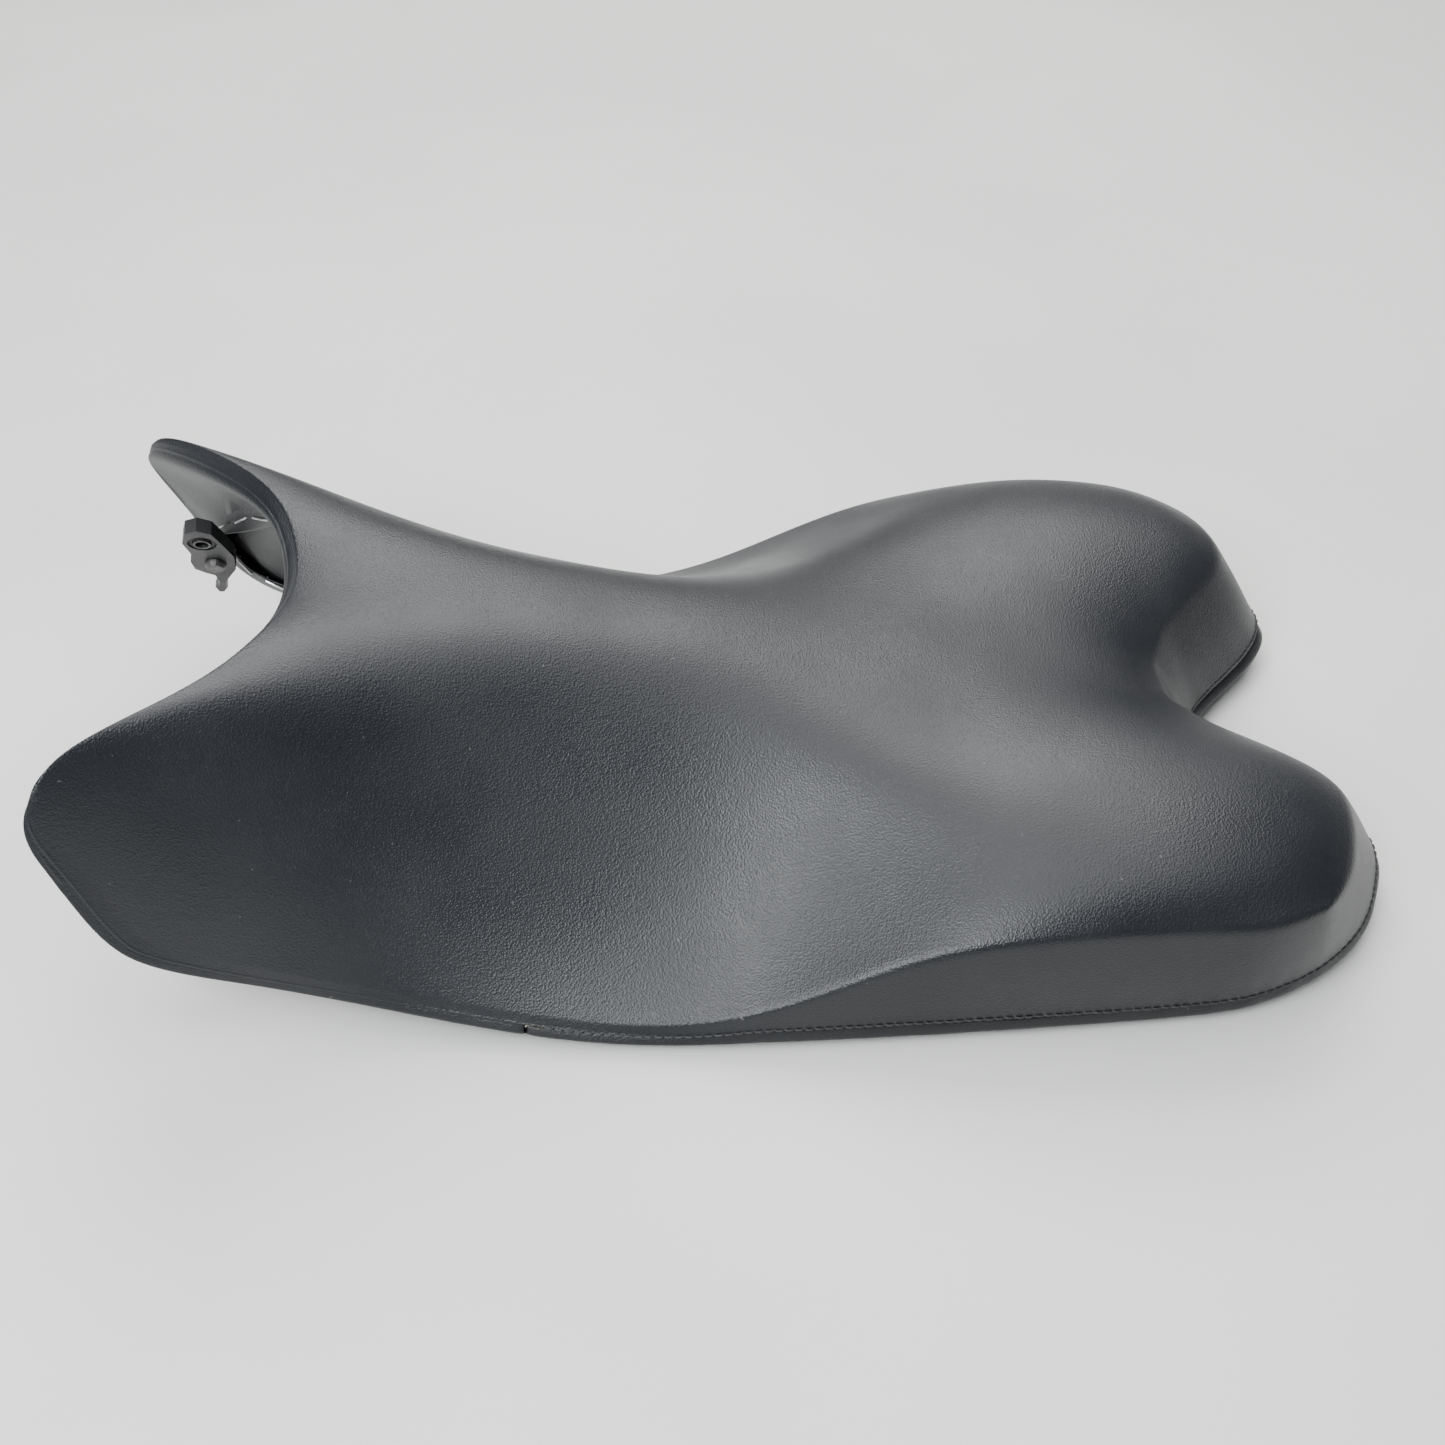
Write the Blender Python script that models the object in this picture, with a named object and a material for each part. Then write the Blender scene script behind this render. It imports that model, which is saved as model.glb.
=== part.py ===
"""Rider's seat of a sport motorcycle: vinyl cover, foam, moulded base pan and its mounting hardware.

The seat's left side is +X, its front (the fuel tank's end) is -Y, and it stands on Z = 0.
Every layer of the seat is a sheet: a lofted grid over the top and flanks, and loops round its
edge that run down the side wall to the hem and back up the inside of the pan.
"""

import bmesh
import bpy
import numpy as np
from mathutils import Matrix, Vector
from mathutils.bvhtree import BVHTree

MM = 0.001

# Thicknesses and clearances, in millimetres.
COVER = 1.2
GAP = 0.35
FOAM_GAP = 0.6
PAN = 3.0
RIM_INSET = 4.0
FOAM_INSET = 2.3

# The outer surface, half of it, as rails from front to rear. Each rail has one point for each
# station: the first lies on the front edge that wraps the tank, the last on the rear rim.
RAILS = (
    # centre line
    (
        (0, -160, 112), (0, -140, 113), (0, -100, 106), (0, -55, 95), (0, -10, 85),
        (0, 35, 75), (0, 80, 68), (0, 122, 60), (0, 146, 52), (0, 158, 45),
    ),
    # crown of the nose
    (
        (32, -166, 116), (28, -143, 114), (22, -101, 105), (20, -55, 93), (24, -10, 82),
        (32, 35, 73), (38, 80, 69), (40, 126, 65), (34, 155, 57), (33, 172, 50),
    ),
    # under the thighs
    (
        (64, -187, 118), (51, -155, 113), (40, -105, 98), (38, -56, 83), (45, -10, 71),
        (60, 35, 67), (76, 80, 68), (78, 130, 69), (66, 178, 61), (60, 199, 51),
    ),
    # ridge from the wing tip to the lobe
    (
        (93, -221, 114), (70, -168, 105), (61, -110, 80), (62, -58, 62), (71, -10, 52),
        (86, 35, 54), (103, 81, 61), (106, 133, 65), (93, 178, 61), (84, 202, 53),
    ),
    # middle of the flank
    (
        (103, -218, 82), (92, -171, 70), (88, -113, 51), (92, -60, 35), (100, -10, 31),
        (110, 36, 43), (119, 82, 55), (121, 136, 58), (112, 173, 57), (106, 195, 50),
    ),
    # rim: just above the hem in front, the crease of the side wall at the rear
    (
        (108, -207, 50), (107, -172, 31), (113, -114, 17), (122, -62, 11), (127, -12, 16),
        (127, 37, 37), (129, 82, 48), (130, 137, 49), (129, 163, 49), (122, 182, 49),
    ),
)
# The hem, the lowest outer line: along the front edge and down the wing, along the side, and
# round the rear lobe to the notch. It has one point for each rail or station of the rim.
HEM_FRONT = (
    (0, -167, 105), (32, -173, 108), (62, -194, 109),
    (97, -229, 104), (107, -225, 79), (111, -211, 45),
)
HEM_SIDE = (
    (109, -172, 23), (117, -114, 10), (126, -62, 4.5), (130, -12, 4), (131, 37, 4),
    (131, 82, 4), (130, 137, 4), (127, 165, 4.5), (119, 188, 6),
)
HEM_REAR = ((105, 209, 9), (86, 222, 12), (62, 228, 13), (35, 208, 10), (0, 180, 8))

# How far the pan lies under the outer surface: straight down at each station, the share of
# that on each rail, the drop on the rim itself, and how far it is drawn in from side and end
# (the end from the second station on).
FOAM_DROP = (9, 14, 18, 23, 27, 30, 30, 28, 26, 24)
DROP_SHARE = (1.0, 1.0, 0.95, 0.8, 0.55)
RIM_DROP = (2, 3, 3, 2, 4, 9, 11, 11, 11, 10)
PAN_SIDEWAYS = (0, 1, 3, 6, 7, 6)
PAN_ENDWAYS = (0, 0, 0, 0, 0, 0, -4, -7, -8)
# The pan stops short of the wing's tip: its front edge, one point for each rail.
PAN_FRONT = (
    (0, -155, 103), (33, -161, 107), (67, -180, 107),
    (80, -200, 98), (92, -205, 75), (102, -200, 48),
)
# The way into the seat from each point of the front hem, and how far in the pan's rim is.
INWARD_FRONT = (
    (0, 1, -0.4), (0.05, 1, -0.5), (0.5, 1, -0.4),
    (-0.7, 1.05, -0.35), (-0.9, 0.9, -0.2), (-0.8, 0.95, 0.3),
)
RIM_INSET_FRONT = (4, 4, 5, 19, 13, 6)
FOAM_INSET_FRONT = (2.3, 2.3, 2.8, 5, 4, 3)
# The foam's whole edge is also set back a little at the wing, to round its sharp tip.
FOAM_SETBACK_FRONT = (0, 0, 0.7, 1.5, 1.2, 1)

STEPS = 2
# The loops of a sheet, counted out from the grid's rim: down the wall to the seam and the hem,
# round the pan's rim, and along the fold under it.
WALL_SHARES = (0.4, 0.75)
SEAM = 3
HEM_LEVEL = 4
FOLD_SHARES = (0.3, 0.65, 1.0)
FOLD_END = HEM_LEVEL + 1 + len(FOLD_SHARES)
FOLD_GAP = 1.3
SEAM_HEIGHT = 6
BAND_START_STATION = 2.5
FOLD_FRONT = (26, 12, 3, 4, 6, 6)
FOLD_SIDE = 12

# Posts moulded under the pan, each with a rubber bumper that the seat stands on: x, y.
POSTS = ((60, -62), (84, 28), (88, 118))
POST_RADIUS = 10
POST_BOTTOM = 9
BUMPER_RADIUS = 11
STEM_RADIUS = 4
STEM_LENGTH = 8
EMBED = 1.4

# The ear inside each wing, seen from the side before it leans: its outline (y, z) down to the
# claw's tip and back, and its bolt. The claw, the part under its neck, is slimmer at both faces.
EAR_OUTLINE = (
    (-205, 75.5), (-207, 84.5), (-212, 88), (-217, 86), (-220, 78), (-219, 69), (-221, 62),
    (-221, 55.5), (-217, 51), (-214.5, 49), (-214, 44.5), (-216, 38.5), (-218, 35.5), (-217.5, 32),
    (-215, 31.5), (-213, 34.5), (-212, 40), (-209.5, 46.5), (-205, 53.5), (-203, 64.5),
)
CLAW_NECK = 48
CLAW_CENTRE = (-214.5, 38)
CLAW_SLIMMING = 0.7
EAR_INNER, EAR_OUTER = 83, 89
EAR_CHAMFER = 1.5
EAR_LEAN, EAR_TURNS_AT = 27, 60
BOLT_AT = (-212.5, 77)
POCKET_RADIUS = 5.6
POCKET_FLOOR = 87
BOLT_HOLE_RADIUS = 4.0
COLLAR_RADIUS, COLLAR_BORE = 3.4, 2.6
EAR_SCREW_AT = (-211.5, 60)

# The rear tongue, a bent steel strip, seen from the side (y, z) on its lower face.
TONGUE_LINE = ((92, 24), (122, 24), (140, 5), (148, 1.2), (186, 1.2))
TONGUE_THICK = 2.5
TONGUE_WIDTH = 38
TONGUE_SCREWS = ((-11, 108), (11, 108))
SCREW_SHANK, SCREW_HOLE, SCREW_HEAD, HEAD_HIGH = 2.0, 2.5, 4.2, 2.4

SIDES = (("left", 1), ("right", -1))


def clear_scene():
    for obj in list(bpy.data.objects):
        bpy.data.objects.remove(obj, do_unlink=True)


def material(name, colour, roughness, metallic=0.0):
    made = bpy.data.materials.new(name)
    made.use_nodes = True
    shader = made.node_tree.nodes["Principled BSDF"]
    shader.inputs["Base Color"].default_value = (*colour, 1.0)
    shader.inputs["Roughness"].default_value = roughness
    shader.inputs["Metallic"].default_value = metallic
    return made


def spline(points, steps):
    """Points of a natural cubic spline through points, with that many steps in each span."""
    knots = np.asarray(points, float)
    count = len(knots)
    matrix = np.eye(count)
    bends = np.zeros_like(knots)
    for k in range(1, count - 1):
        matrix[k, k - 1 : k + 2] = (1, 4, 1)
        bends[k] = 6 * (knots[k - 1] - 2 * knots[k] + knots[k + 1])
    bends = np.linalg.solve(matrix, bends.reshape(count, -1)).reshape(knots.shape)
    found = []
    for k in range(count - 1):
        for step in range(steps):
            b = step / steps
            a = 1 - b
            curve = (a**3 - a) * bends[k] + (b**3 - b) * bends[k + 1]
            found.append(a * knots[k] + b * knots[k + 1] + curve / 6)
    found.append(knots[-1])
    return np.array(found)


def mirrored(half):
    """A row that starts on the centre plane, with its mirror image put before it."""
    half = np.asarray(half, float)
    return np.concatenate([half[:0:-1] * (-1, 1, 1), half])


def loft(rails):
    """Grid of points, rows from front to rear and columns from the right to the left."""
    along = np.stack([spline(rail, STEPS) for rail in rails], 1)
    return np.array([spline(mirrored(row), STEPS) for row in along])


def round_loop(front, side, rear):
    """Closed loop of points round the rim, from the front's centre by way of the left side."""
    half = [*front, *side, *rear]
    whole = np.array(half + [(-x, y, z) for x, y, z in half[-2:0:-1]], float)
    lap = 4
    ends = spline(np.concatenate([whole[-lap:], whole, whole[: lap + 1]]), STEPS)
    return ends[lap * STEPS : (lap + len(whole)) * STEPS]


def rim_cells(rows, columns):
    """Row and column of each grid point on the rim, in the loop's order, and its inward step."""
    last, middle, end = rows - 1, columns // 2, columns - 1
    cells = [(0, j, 1, 0) for j in range(middle, end)]
    cells.append((0, end, 1, -1))
    cells += [(i, end, 0, -1) for i in range(1, last)]
    cells.append((last, end, -1, -1))
    cells += [(last, j, -1, 0) for j in range(end - 1, 0, -1)]
    cells.append((last, 0, -1, 1))
    cells += [(i, 0, 0, 1) for i in range(last - 1, 0, -1)]
    cells.append((0, 0, 1, 1))
    cells += [(0, j, 1, 0) for j in range(1, middle)]
    return cells


OUTER = loft(RAILS)
ROWS, COLUMNS = OUTER.shape[:2]
CELLS = rim_cells(ROWS, COLUMNS)
LOOP = len(CELLS)
HEM = round_loop(HEM_FRONT, HEM_SIDE, HEM_REAR)


def on_rim(grid):
    return np.array([grid[i, j] for i, j, _, _ in CELLS])


def walls(rim, hem):
    """Loops down the wall from the rim to the hem. The last but one is where the seam runs."""
    down = hem - rim
    height = np.linalg.norm(HEM - on_rim(OUTER), axis=1, keepdims=True)
    seam = 1 - np.minimum(SEAM_HEIGHT, 0.45 * height) / height
    return [rim + share * seam * down for share in (*WALL_SHARES, 1)] + [hem]


def stacked(grid, loops):
    return np.concatenate([grid.reshape(-1, 3), *loops])


def loop_index(level, place):
    """Index of a sheet's point: level 0 is the grid's own rim, level 1 the first loop."""
    place %= LOOP
    if level == 0:
        i, j = CELLS[place][:2]
        return i * COLUMNS + j
    return ROWS * COLUMNS + (level - 1) * LOOP + place


def grid_quads():
    quads = []
    for i in range(ROWS - 1):
        for j in range(COLUMNS - 1):
            corner = i * COLUMNS + j
            quads.append((corner, corner + 1, corner + COLUMNS + 1, corner + COLUMNS))
    return quads


def strip_quads(first, last, places):
    """Quads between the loops of levels first to last, at these places round the rim."""
    quads = []
    for level in range(first, last):
        for place in places:
            quads.append((
                loop_index(level, place),
                loop_index(level + 1, place),
                loop_index(level + 1, place + 1),
                loop_index(level, place + 1),
            ))
    return quads


def normals(points, quads):
    """Unit normal of each point, averaged over the quads round it. Unused points get zero."""
    total = np.zeros_like(points)
    for quad in quads:
        a, b, c, d = points[list(quad)]
        face = np.cross(c - a, d - b)
        for corner in quad:
            total[corner] += face
    length = np.linalg.norm(total, axis=1, keepdims=True)
    return total / np.where(length > 0, length, 1)


def horizontal_inward(loop):
    """Unit vectors in plan, square to the loop and pointing into it."""
    tangent = np.roll(loop, -1, axis=0) - np.roll(loop, 1, axis=0)
    inward = np.stack([-tangent[:, 1], tangent[:, 0], np.zeros(len(loop))], 1)
    return inward / np.linalg.norm(inward, axis=1, keepdims=True)


def new_object(name, mesh, look):
    obj = bpy.data.objects.new(name, mesh)
    bpy.context.scene.collection.objects.link(obj)
    mesh.materials.append(look)
    return obj


def closed_shell(name, top, bottom, quads, look):
    """A closed solid between two sheets that share quads, joined along their open borders."""
    used = sorted({corner for quad in quads for corner in quad})
    place = {corner: k for k, corner in enumerate(used)}
    count = len(used)
    faces = [tuple(place[c] for c in quad) for quad in quads]
    sides = {(face[k], face[(k + 1) % 4]) for face in faces for k in range(4)}
    borders = [(a, b) for a, b in sides if (b, a) not in sides]
    solid = [half for a, b, c, d in faces for half in ((a, b, c), (a, c, d))]
    solid += [tuple(corner + count for corner in reversed(half)) for half in solid]
    solid += [(b, a, a + count, b + count) for a, b in sorted(borders)]
    points = np.concatenate([top[used], bottom[used]]) * MM
    mesh = bpy.data.meshes.new(name)
    mesh.from_pydata([tuple(p) for p in points], [], solid)
    mesh.validate()
    mesh.shade_smooth()
    mesh.set_sharp_from_angle(angle=np.radians(50))
    return new_object(name, mesh, look)


def revolved(name, profile, centre, axis, look, segments=20):
    """A closed solid of revolution. The profile holds (radius, height) pairs up its outer side
    and back down its bore or axis, in millimetres; centre is in millimetres."""
    mesh = bpy.data.meshes.new(name)
    work = bmesh.new()
    turn = Vector((0, 0, 1)).rotation_difference(Vector(axis)).to_matrix()
    rings = []
    for radius, height in profile:
        angles = [0] if radius == 0 else np.arange(segments) * 2 * np.pi / segments
        ring = [Vector((radius * np.cos(a), radius * np.sin(a), height)) for a in angles]
        rings.append([work.verts.new((turn @ p + Vector(centre)) * MM) for p in ring])
    for low, high in zip(rings, rings[1:] + rings[:1]):
        for k in range(segments):
            corners = []
            for ring, step in ((low, k), (low, k + 1), (high, k + 1), (high, k)):
                corner = ring[step % len(ring)]
                if corner not in corners:
                    corners.append(corner)
            if len(corners) > 2:
                work.faces.new(corners)
    bmesh.ops.recalc_face_normals(work, faces=work.faces)
    work.to_mesh(mesh)
    work.free()
    mesh.shade_smooth()
    mesh.set_sharp_from_angle(angle=np.radians(40))
    return new_object(name, mesh, look)


def pan_grid():
    """The pan's upper face: the outer surface, lowered by the foam and drawn in at the sides."""
    drops = [np.multiply(share, FOAM_DROP) for share in DROP_SHARE] + [RIM_DROP]
    rails = []
    for rail, rail_drops, sideways, front in zip(RAILS, drops, PAN_SIDEWAYS, PAN_FRONT):
        points = [front]
        for (x, y, z), drop, endways in zip(rail[1:], rail_drops[1:], PAN_ENDWAYS):
            points.append((x - sideways, y + endways, z - drop))
        rails.append(points)
    return loft(rails)


def round_values(half):
    """Values given for the front, side and rear points of one half, for each place of the loop."""
    half = np.array(half, float).reshape(len(half), -1)
    mirror = np.ones(half.shape[1])
    if half.shape[1] == 3:
        mirror[0] = -1
    whole = np.concatenate([half, half[-2:0:-1] * mirror, half[:1]])
    places = np.arange(LOOP) / STEPS
    knots = np.arange(len(whole))
    return np.stack([np.interp(places, knots, column) for column in whole.T], 1)


REST = len(HEM_SIDE) + len(HEM_REAR)


def inside_hem(distance):
    """The hem loop moved into the seat: inwards and up, except along the front edge."""
    sideways = horizontal_inward(HEM) + (0, 0, 1)
    in_front = round_values([1] * len(HEM_FRONT) + [0] * REST)
    front_way = round_values([*INWARD_FRONT, *[(0, 0, 0)] * REST])
    way = np.where(in_front > 0, front_way + (1 - in_front) * sideways, sideways)
    step = way * distance
    step[:, 2] = np.minimum(step[:, 2], COVER + 2 * GAP)
    return HEM + step


def insets(front, rest):
    """Distances in from the hem: the front's own ones, and one for all the rest."""
    return round_values([*front, *[rest] * REST])


def fold_lengths():
    return round_values([*FOLD_FRONT, *[FOLD_SIDE] * REST])[:, 0]


def walk(line, distance):
    """Weights that give the point this far along a line of points."""
    steps = np.linalg.norm(np.diff(line, axis=0), axis=1)
    covered = np.concatenate([[0], np.cumsum(steps)])
    weights = np.zeros(len(line))
    span = min(np.searchsorted(covered, distance), len(line) - 1)
    share = (distance - covered[span - 1]) / steps[span - 1]
    weights[span - 1] = 1 - share
    weights[span] = share
    return weights


class Pan:
    """The pan's two faces as sheets, and the line round its rim that the cover folds over."""

    def __init__(self):
        grid = pan_grid()
        rim = on_rim(grid)
        self.quads = grid_quads() + strip_quads(0, HEM_LEVEL, range(LOOP))
        self.upper = stacked(grid, walls(rim, inside_hem(insets(RIM_INSET_FRONT, RIM_INSET))))
        self.normal = normals(self.upper, self.quads)
        self.lower = self.upper - PAN * self.normal

    def fold_lines(self, clearance):
        """Loops of the cover's fold: round the rim's bottom edge, then up the pan's lower face."""
        face = self.lower - clearance * normals(self.lower, self.quads)
        rim = []
        fold = [[] for _ in FOLD_SHARES]
        for place, length in enumerate(fold_lengths()):
            i, j, down, across = CELLS[place]
            line = [loop_index(level, place) for level in range(HEM_LEVEL, -1, -1)]
            line += [(i + step * down) * COLUMNS + j + step * across for step in (1, 2, 3)]
            edge = face[line[0]] - face[line[1]]
            rim.append(face[line[0]] + clearance * edge / np.linalg.norm(edge))
            for loop, share in zip(fold, FOLD_SHARES):
                loop.append(walk(face[line], share * length) @ face[line])
        return [np.array(loop) for loop in (rim, *fold)]


def cover_layers(pan):
    """The cover's outer and inner sheets, with the loops that fold under the pan's rim."""
    rim = on_rim(OUTER)
    outer = stacked(OUTER, walls(rim, HEM) + pan.fold_lines(FOLD_GAP + COVER))
    visible = grid_quads() + strip_quads(0, HEM_LEVEL, range(LOOP))
    inner = outer - COVER * normals(outer, visible)
    hem = slice(loop_index(HEM_LEVEL, 0), loop_index(HEM_LEVEL, 0) + LOOP)
    inner[hem] = inside_hem(COVER)
    inner[hem.stop :] = np.concatenate(pan.fold_lines(FOLD_GAP))
    return outer, inner


def build_cover(pan, look, band_look):
    outer, inner = cover_layers(pan)
    start = int(STEPS * (len(HEM_FRONT) - 1 + BAND_START_STATION))
    notch = LOOP // 2
    front = [*range(start), *range(LOOP - start, LOOP)]
    quads = grid_quads() + strip_quads(0, SEAM, range(LOOP)) + strip_quads(SEAM, FOLD_END, front)
    closed_shell("cover_main", outer, inner, quads, look)
    for side, places in (("left", range(start, notch)), ("right", range(notch, LOOP - start))):
        band = []
        for sheet in (outer, inner):
            moved = sheet.copy()
            for place in (*places, places.stop):
                seam, below = loop_index(SEAM, place), loop_index(SEAM + 1, place)
                down = sheet[below] - sheet[seam]
                moved[seam] += GAP * down / np.linalg.norm(down)
            for end, step in ((places.start, 1), (places.stop, -1)):
                for level in range(SEAM, FOLD_END + 1):
                    spot = loop_index(level, end)
                    along = sheet[loop_index(level, end + step)] - sheet[spot]
                    moved[spot] += GAP * along / np.linalg.norm(along)
            band.append(moved)
        closed_shell("cover_band_" + side, *band, strip_quads(SEAM, FOLD_END, places), band_look)


def build_foam(pan, look):
    rim = on_rim(OUTER)
    quads = grid_quads() + strip_quads(0, HEM_LEVEL, range(LOOP))
    outer = stacked(OUTER, walls(rim, HEM))
    top = outer - (COVER + FOAM_GAP) * normals(outer, quads)
    setback = inside_hem(insets(FOAM_SETBACK_FRONT, 0)) - HEM
    for level in range(HEM_LEVEL):
        for place in range(LOOP):
            top[loop_index(level, place)] += setback[place]
    top[loop_index(HEM_LEVEL, 0) :] = inside_hem(insets(FOAM_INSET_FRONT, FOAM_INSET))
    bottom = pan.upper + GAP * pan.normal
    closed_shell("foam", top, bottom, quads, look)


def ring(radius, centre, height, segments=20):
    """Points of a level circle. The height is a number, or a function of x and y."""
    points = []
    for angle in np.arange(segments) * 2 * np.pi / segments:
        x, y = centre[0] + radius * np.cos(angle), centre[1] + radius * np.sin(angle)
        points.append((x, y, height(x, y) if callable(height) else height))
    return points


def solid_of_rings(work, rings):
    """Adds a closed solid to a bmesh: a cap on the first ring, walls on, a cap on the last."""
    loops = [[work.verts.new(Vector(p) * MM) for p in points] for points in rings]
    count = len(loops[0])
    for low, high in zip(loops, loops[1:]):
        for k in range(count):
            work.faces.new((low[k], low[(k + 1) % count], high[(k + 1) % count], high[k]))
    work.faces.new(loops[0][::-1])
    work.faces.new(loops[-1])


def finished(name, work, look, angle=40):
    bmesh.ops.triangulate(work, faces=[f for f in work.faces if len(f.verts) > 4])
    bmesh.ops.recalc_face_normals(work, faces=work.faces)
    mesh = bpy.data.meshes.new(name)
    work.to_mesh(mesh)
    work.free()
    mesh.shade_smooth()
    mesh.set_sharp_from_angle(angle=np.radians(angle))
    return new_object(name, mesh, look)


def boolean(obj, other, operation, solver="EXACT"):
    other.hide_render = True
    other.display_type = "WIRE"
    made = obj.modifiers.new(other.name, "BOOLEAN")
    made.operation = operation
    made.object = other
    made.solver = solver


def pan_underside(pan):
    """Function of x and y that gives the height of the pan's lower face."""
    tree = BVHTree.FromPolygons([tuple(p) for p in pan.lower], pan.quads)

    def height(x, y):
        hit = tree.ray_cast(Vector((x, y, -50)), Vector((0, 0, 1)))[0]
        return hit.z

    return height


def build_pan(pan, look):
    obj = closed_shell("base_pan", pan.upper, pan.lower, pan.quads, look)
    under = pan_underside(pan)
    posts = bmesh.new()
    for side, sign in SIDES:
        for x, y in POSTS:
            centre = (sign * x, y)
            bore = STEM_RADIUS + GAP
            solid_of_rings(posts, [
                ring(bore, centre, POST_BOTTOM + STEM_LENGTH + GAP),
                ring(bore, centre, POST_BOTTOM),
                ring(POST_RADIUS, centre, POST_BOTTOM),
                ring(POST_RADIUS, centre, lambda px, py: under(px, py) + EMBED),
            ])
    boolean(obj, finished("posts", posts, look), "UNION")


def build_bumpers(look):
    top = POST_BOTTOM - GAP
    profile = (
        (0, 0), (BUMPER_RADIUS - 1.5, 0), (BUMPER_RADIUS, 1.5), (BUMPER_RADIUS, top),
        (STEM_RADIUS, top), (STEM_RADIUS, top + STEM_LENGTH), (0, top + STEM_LENGTH),
    )
    for side, sign in SIDES:
        for number, (x, y) in enumerate(POSTS, 1):
            revolved(f"bumper_{side}_{number}", profile, (sign * x, y, 0), (0, 0, 1), look)


def extruded(name, outline, inner, outer, sign, look):
    """A plate of this outline in y and z, between two distances from the centre plane."""
    work = bmesh.new()
    rings = [[(sign * x, y, z) for y, z in outline] for x in (inner, outer)]
    solid_of_rings(work, rings)
    return finished(name, work, look)


def rod(name, radius, at, start, end, sign, look):
    """A plain rod along X, at this y and z."""
    profile = ((0, start), (radius, start), (radius, end), (0, end))
    return revolved(name, profile, (0, *at), (sign, 0, 0), look)


def ear_solid(name, sign, look):
    slim = [
        tuple(np.array(CLAW_CENTRE) + CLAW_SLIMMING * (np.array(p) - CLAW_CENTRE))
        if p[1] < CLAW_NECK else p
        for p in EAR_OUTLINE
    ]
    layers = (
        (EAR_INNER, slim), (EAR_INNER + EAR_CHAMFER, EAR_OUTLINE),
        (EAR_OUTER - EAR_CHAMFER, EAR_OUTLINE), (EAR_OUTER, slim),
    )
    work = bmesh.new()
    solid_of_rings(work, [[(sign * x, y, z) for y, z in outline] for x, outline in layers])
    return finished(name, work, look)


def leaned(obj, sign):
    """Leans a piece of the ear inwards at the top, as the wing does."""
    centre = Vector((sign * EAR_INNER, 0, EAR_TURNS_AT)) * MM
    turn = Matrix.Rotation(np.radians(-sign * EAR_LEAN), 4, "Y")
    obj.data.transform(Matrix.Translation(centre) @ turn @ Matrix.Translation(-centre))
    return obj


def build_ears(plastic, rubber, steel):
    for side, sign in SIDES:
        ear = leaned(ear_solid("front_ear_" + side, sign, plastic), sign)
        cuts = (
            ("pocket_", POCKET_RADIUS, BOLT_AT, EAR_INNER - 5, POCKET_FLOOR),
            ("bolt_hole_", BOLT_HOLE_RADIUS, BOLT_AT, EAR_INNER - 4, EAR_OUTER + 5),
            ("screw_hole_", SCREW_HOLE, EAR_SCREW_AT, EAR_INNER - 3, EAR_OUTER + 4),
        )
        for name, radius, at, start, end in cuts:
            cutter = rod(name + side, radius, at, start, end, sign, plastic)
            boolean(ear, leaned(cutter, sign), "DIFFERENCE")
        start, end = EAR_INNER + 0.5, POCKET_FLOOR - GAP
        grommet = (
            (COLLAR_RADIUS + GAP, start), (POCKET_RADIUS - GAP, start),
            (POCKET_RADIUS - GAP, end), (COLLAR_RADIUS + GAP, end),
        )
        piece = revolved("grommet_" + side, grommet, (0, *BOLT_AT), (sign, 0, 0), rubber)
        leaned(piece, sign)
        collar = (
            (COLLAR_BORE, EAR_INNER - 0.5), (COLLAR_RADIUS, EAR_INNER - 0.5),
            (COLLAR_RADIUS, EAR_OUTER + 0.5), (COLLAR_BORE, EAR_OUTER + 0.5),
        )
        piece = revolved("collar_" + side, collar, (0, *BOLT_AT), (sign, 0, 0), steel)
        leaned(piece, sign)
        face = EAR_INNER - GAP
        screw = (
            (0, face - HEAD_HIGH), (SCREW_HEAD - 1, face - HEAD_HIGH), (SCREW_HEAD, face - 1),
            (SCREW_HEAD, face), (SCREW_SHANK, face), (SCREW_SHANK, EAR_OUTER), (0, EAR_OUTER),
        )
        piece = revolved("ear_screw_" + side, screw, (0, *EAR_SCREW_AT), (sign, 0, 0), steel)
        leaned(piece, sign)


def build_tongue(steel):
    lower = np.array(TONGUE_LINE, float)
    along = np.gradient(lower, axis=0)
    along /= np.linalg.norm(along, axis=1, keepdims=True)
    upper = lower + TONGUE_THICK * np.stack([-along[:, 1], along[:, 0]], 1)
    outline = [*lower, *upper[::-1]]
    half = TONGUE_WIDTH / 2
    tongue = extruded("rear_tongue", outline, -half, half, 1, steel)
    low = TONGUE_LINE[0][1]
    for number, (x, y) in enumerate(TONGUE_SCREWS, 1):
        hole = ((0, low - 3), (SCREW_HOLE, low - 3), (SCREW_HOLE, low + 6), (0, low + 6))
        cutter = revolved(f"tongue_hole_{number}", hole, (x, y, 0), (0, 0, 1), steel)
        boolean(tongue, cutter, "DIFFERENCE")
        face = low - GAP
        screw = (
            (0, face - HEAD_HIGH), (SCREW_HEAD - 1, face - HEAD_HIGH), (SCREW_HEAD, face - 1),
            (SCREW_HEAD, face), (SCREW_SHANK, face), (SCREW_SHANK, low + TONGUE_THICK),
            (0, low + TONGUE_THICK),
        )
        revolved(f"tongue_screw_{number}", screw, (x, y, 0), (0, 0, 1), steel)


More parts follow.
